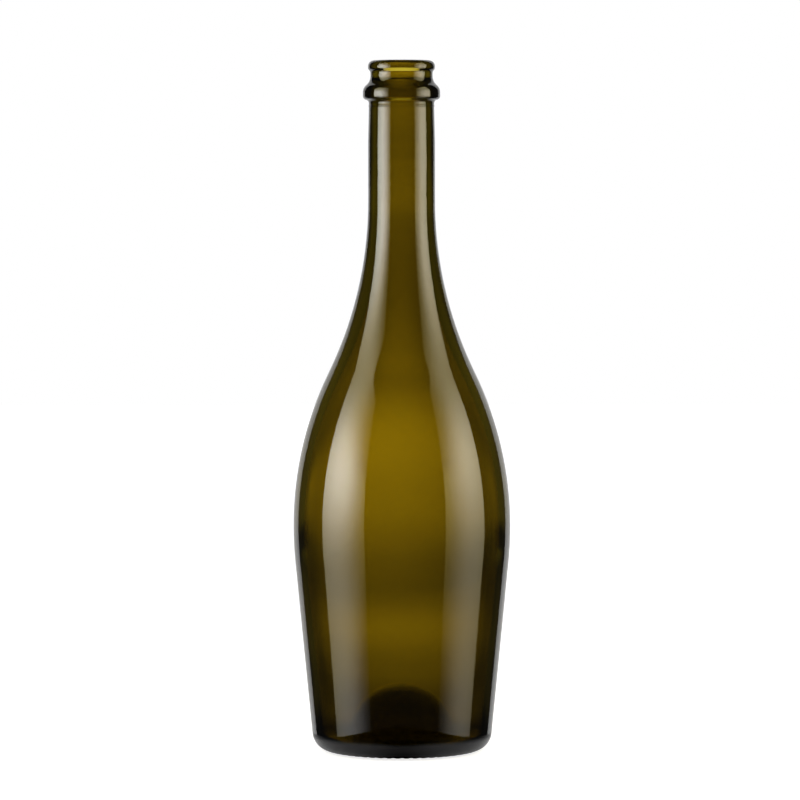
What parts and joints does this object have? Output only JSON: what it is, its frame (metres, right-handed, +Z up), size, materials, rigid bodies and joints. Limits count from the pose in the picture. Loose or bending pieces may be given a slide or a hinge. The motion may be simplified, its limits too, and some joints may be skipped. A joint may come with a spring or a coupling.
{
  "type": "sparkling wine bottle",
  "caption": "Empty olive-green glass bottle for sparkling wine: slim neck with a collar and crown lip, round belly, tapered foot and a domed punt under the base.",
  "frame": {"origin": "centre of the circle that the bottle stands on, at the level of the knurled ring", "axes": "+Z up along the bottle's axis, out of the mouth; the bottle is round, so +X and +Y are any two square directions"},
  "size_m": [0.0944, 0.0944, 0.3],
  "materials": {
    "bottle_glass": "moulded olive-green glass, smooth and clear"
  },
  "bodies": {
    "root": {"glass_bottle": "bottle_glass"}
  },
  "joints": []
}
